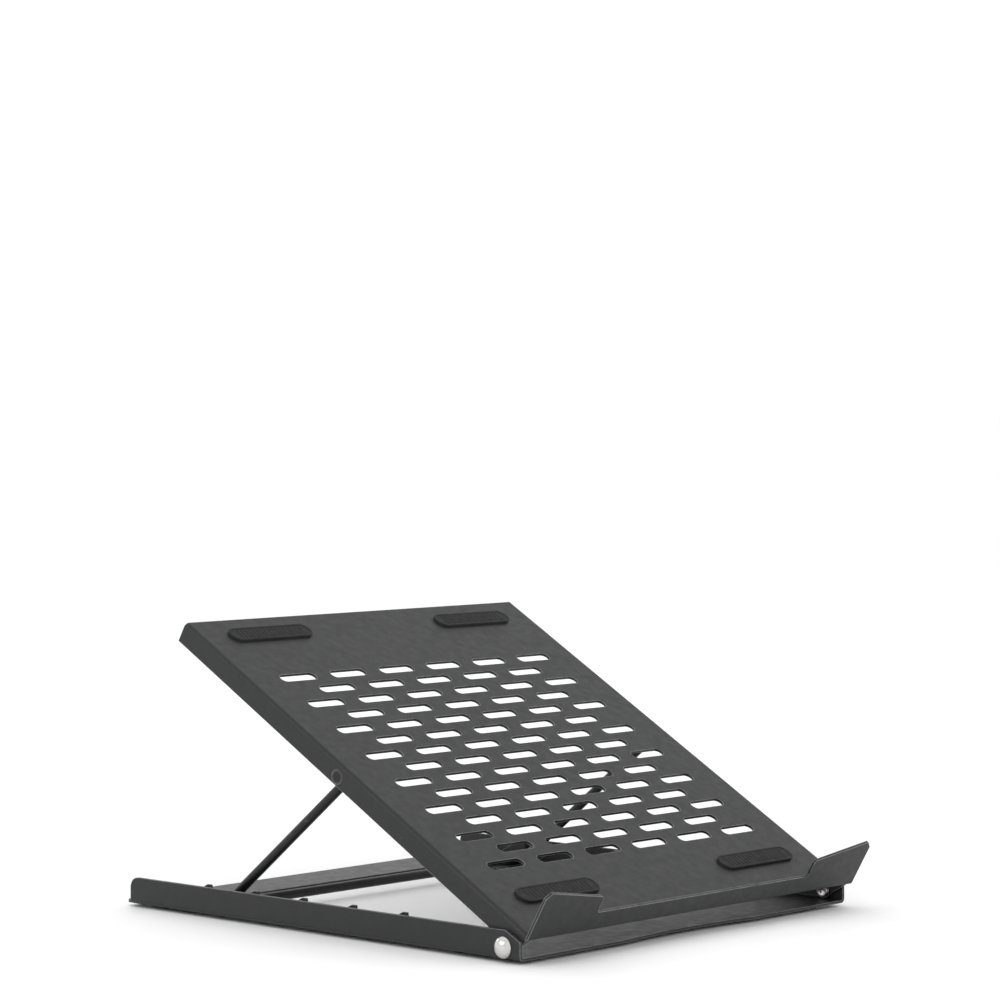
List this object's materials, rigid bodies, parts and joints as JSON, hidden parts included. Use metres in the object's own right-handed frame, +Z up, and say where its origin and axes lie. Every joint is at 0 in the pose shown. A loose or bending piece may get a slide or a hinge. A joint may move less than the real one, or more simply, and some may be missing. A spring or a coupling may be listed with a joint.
{
  "type": "folding laptop stand",
  "caption": "Folding sheet-metal laptop stand: slotted tray with front hooks, tilting on rivets, held by a wire prop in a notched base.",
  "frame": {"origin": "floor level under the middle of the stand's box at rest: on the plane of symmetry, halfway from the hook tips to the back edge of the base", "axes": "+Z up from the floor, +Y from the hooks towards the back, +X to the right seen from the front"},
  "size_m": [0.21, 0.2394, 0.1209],
  "materials": {
    "powder_coat": "fine-textured matte black powder coat on folded steel sheet",
    "wire_coat": "smooth satin black coat on steel wire",
    "rivet_steel": "bright nickel-plated steel",
    "spring_steel": "plain spring steel",
    "nylon": "black nylon",
    "pad_rubber": "soft matte black silicone",
    "foot_rubber": "matte black rubber"
  },
  "bodies": {
    "base": {"base_frame": "powder_coat", "front_left_foot": "foot_rubber", "front_right_foot": "foot_rubber", "left_hinge_rivet": "rivet_steel", "left_hinge_washer": "nylon", "left_rack": "powder_coat", "left_spring_washer": "spring_steel", "rear_left_foot": "foot_rubber", "rear_right_foot": "foot_rubber", "right_hinge_rivet": "rivet_steel", "right_hinge_washer": "nylon", "right_rack": "powder_coat", "right_spring_washer": "spring_steel"},
    "tray": {"tray_panel": "powder_coat", "front_left_tray_pad": "pad_rubber", "front_right_tray_pad": "pad_rubber", "left_hook_pad": "pad_rubber", "left_prop_bush": "nylon", "rear_left_tray_pad": "pad_rubber", "rear_right_tray_pad": "pad_rubber", "right_hook_pad": "pad_rubber", "right_prop_bush": "nylon"},
    "prop": {"prop_wire": "wire_coat"}
  },
  "joints": [
    {"name": "tray_tilt", "type": "hinge", "parent": "base", "child": "tray", "pos_m": [0, -0.09671, 0.0062], "axis": [1, 0, 0], "range_deg": [-30, 27]},
    {"name": "prop_swing", "type": "hinge", "parent": "tray", "child": "prop", "pos_m": [0, -0.00635, 0.06368], "axis": [1, 0, 0], "range_deg": [-61, 67.5]}
  ],
  "couplings": [
    {"joint": "prop_swing", "follows": "tray_tilt", "ratio": -2.22}
  ]
}
